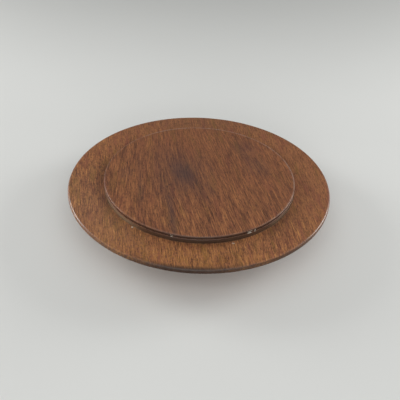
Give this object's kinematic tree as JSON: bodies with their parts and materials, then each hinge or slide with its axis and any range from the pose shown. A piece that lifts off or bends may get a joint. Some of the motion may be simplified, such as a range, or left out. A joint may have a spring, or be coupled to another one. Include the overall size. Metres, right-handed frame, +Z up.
{
  "type": "turntable display stand",
  "caption": "Low wooden turntable stand: a wide thin-rimmed round platter with a raised round display disc, on a hidden ball bearing and a footed base.",
  "frame": {"origin": "on the turning axis at the table, under the middle of the stand", "axes": "+Z up along the turning axis, +X towards the hole that lets a screwdriver reach the upper plate's screws"},
  "size_m": [0.28, 0.28, 0.0478],
  "materials": {
    "platter_wood": "oiled dark brown hardwood, satin",
    "display_wood": "oiled dark brown hardwood with a darker stain, satin",
    "base_wood": "oiled dark brown hardwood, satin",
    "plate_steel": "zinc-plated stamped steel",
    "ball_steel": "polished steel",
    "cage_nylon": "natural white moulded plastic",
    "foot_rubber": "black moulded rubber, matt",
    "washer_steel": "zinc-plated steel",
    "screw_steel": "zinc-plated steel",
    "screw_brass": "plain brass"
  },
  "bodies": {
    "base": {"base_disc": "base_wood", "lower_bearing_plate": "plate_steel", "bearing_eyelet": "plate_steel", "lower_plate_screw_1": "screw_steel", "lower_plate_screw_2": "screw_steel", "lower_plate_screw_3": "screw_steel", "lower_plate_screw_4": "screw_steel", "rubber_foot_1": "foot_rubber", "rubber_foot_2": "foot_rubber", "rubber_foot_3": "foot_rubber", "rubber_foot_4": "foot_rubber", "foot_washer_1": "washer_steel", "foot_washer_2": "washer_steel", "foot_washer_3": "washer_steel", "foot_washer_4": "washer_steel", "foot_screw_1": "screw_steel", "foot_screw_2": "screw_steel", "foot_screw_3": "screw_steel", "foot_screw_4": "screw_steel"},
    "ball_ring": {"ball_cage": "cage_nylon", "bearing_ball_01": "ball_steel", "bearing_ball_02": "ball_steel", "bearing_ball_03": "ball_steel", "bearing_ball_04": "ball_steel", "bearing_ball_05": "ball_steel", "bearing_ball_06": "ball_steel", "bearing_ball_07": "ball_steel", "bearing_ball_08": "ball_steel", "bearing_ball_09": "ball_steel", "bearing_ball_10": "ball_steel", "bearing_ball_11": "ball_steel", "bearing_ball_12": "ball_steel", "bearing_ball_13": "ball_steel", "bearing_ball_14": "ball_steel", "bearing_ball_15": "ball_steel", "bearing_ball_16": "ball_steel"},
    "turntable": {"platter": "platter_wood", "display_disc": "display_wood", "upper_bearing_plate": "plate_steel", "upper_plate_screw_1": "screw_steel", "upper_plate_screw_2": "screw_steel", "upper_plate_screw_3": "screw_steel", "upper_plate_screw_4": "screw_steel", "display_screw_1": "screw_brass", "display_screw_2": "screw_brass", "display_screw_3": "screw_brass", "display_screw_4": "screw_brass"}
  },
  "joints": [
    {"name": "platter_spin", "type": "hinge", "parent": "base", "child": "turntable", "pos_m": [0, 0, 0.024], "axis": [0, 0, 1], "continuous": true},
    {"name": "ball_orbit", "type": "hinge", "parent": "base", "child": "ball_ring", "pos_m": [0, 0, 0.024], "axis": [0, 0, 1], "continuous": true}
  ],
  "couplings": [
    {"joint": "ball_orbit", "follows": "platter_spin", "ratio": 0.5}
  ]
}
